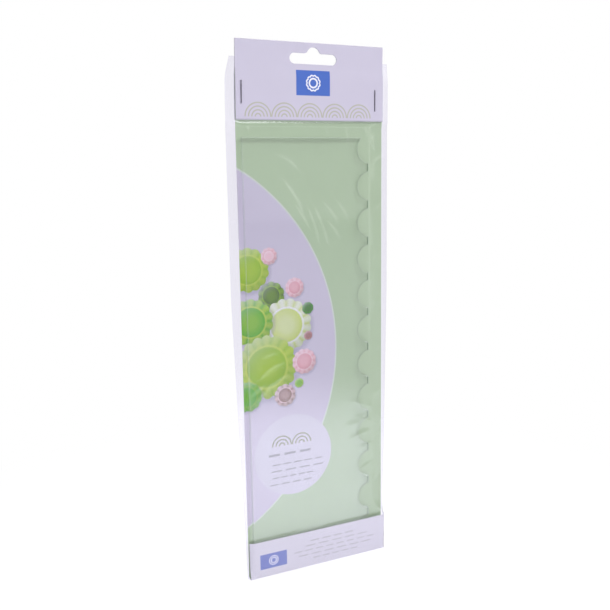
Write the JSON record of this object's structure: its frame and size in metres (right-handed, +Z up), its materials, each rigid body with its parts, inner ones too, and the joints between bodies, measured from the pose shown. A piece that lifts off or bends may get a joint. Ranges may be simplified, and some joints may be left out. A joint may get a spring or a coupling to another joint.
{
  "type": "cake side scraper in a hanging pack",
  "caption": "Clear acrylic cake side scraper with a scalloped long edge, standing in a folded printed card inside a clear bag that a stapled header card with a hang slot closes.",
  "frame": {"origin": "the peg seat: the top of the hang slot's hump, midway through the header card", "axes": "+Z up along the pack, +Y from the front of the pack to its back, +X to the right seen from the front"},
  "size_m": [0.1106, 0.0062, 0.342],
  "materials": {
    "clear_acrylic": "clear cast acrylic with polished faces and cut edges",
    "printed_card": "printed card, pale green with a lilac panel",
    "header_board": "uncoated pale lilac card",
    "clear_film": "clear glossy film",
    "staple_wire": "plain steel wire"
  },
  "bodies": {
    "pack": {"insert_card": "printed_card", "header_card": "header_board", "film_bag": "clear_film", "staple_left": "staple_wire", "staple_right": "staple_wire"},
    "blade": {"scraper_blade": "clear_acrylic"}
  },
  "joints": [
    {"name": "blade_lift", "type": "slide", "parent": "pack", "child": "blade", "axis": [0, 0, 1], "range_m": [0, 0.006]}
  ]
}
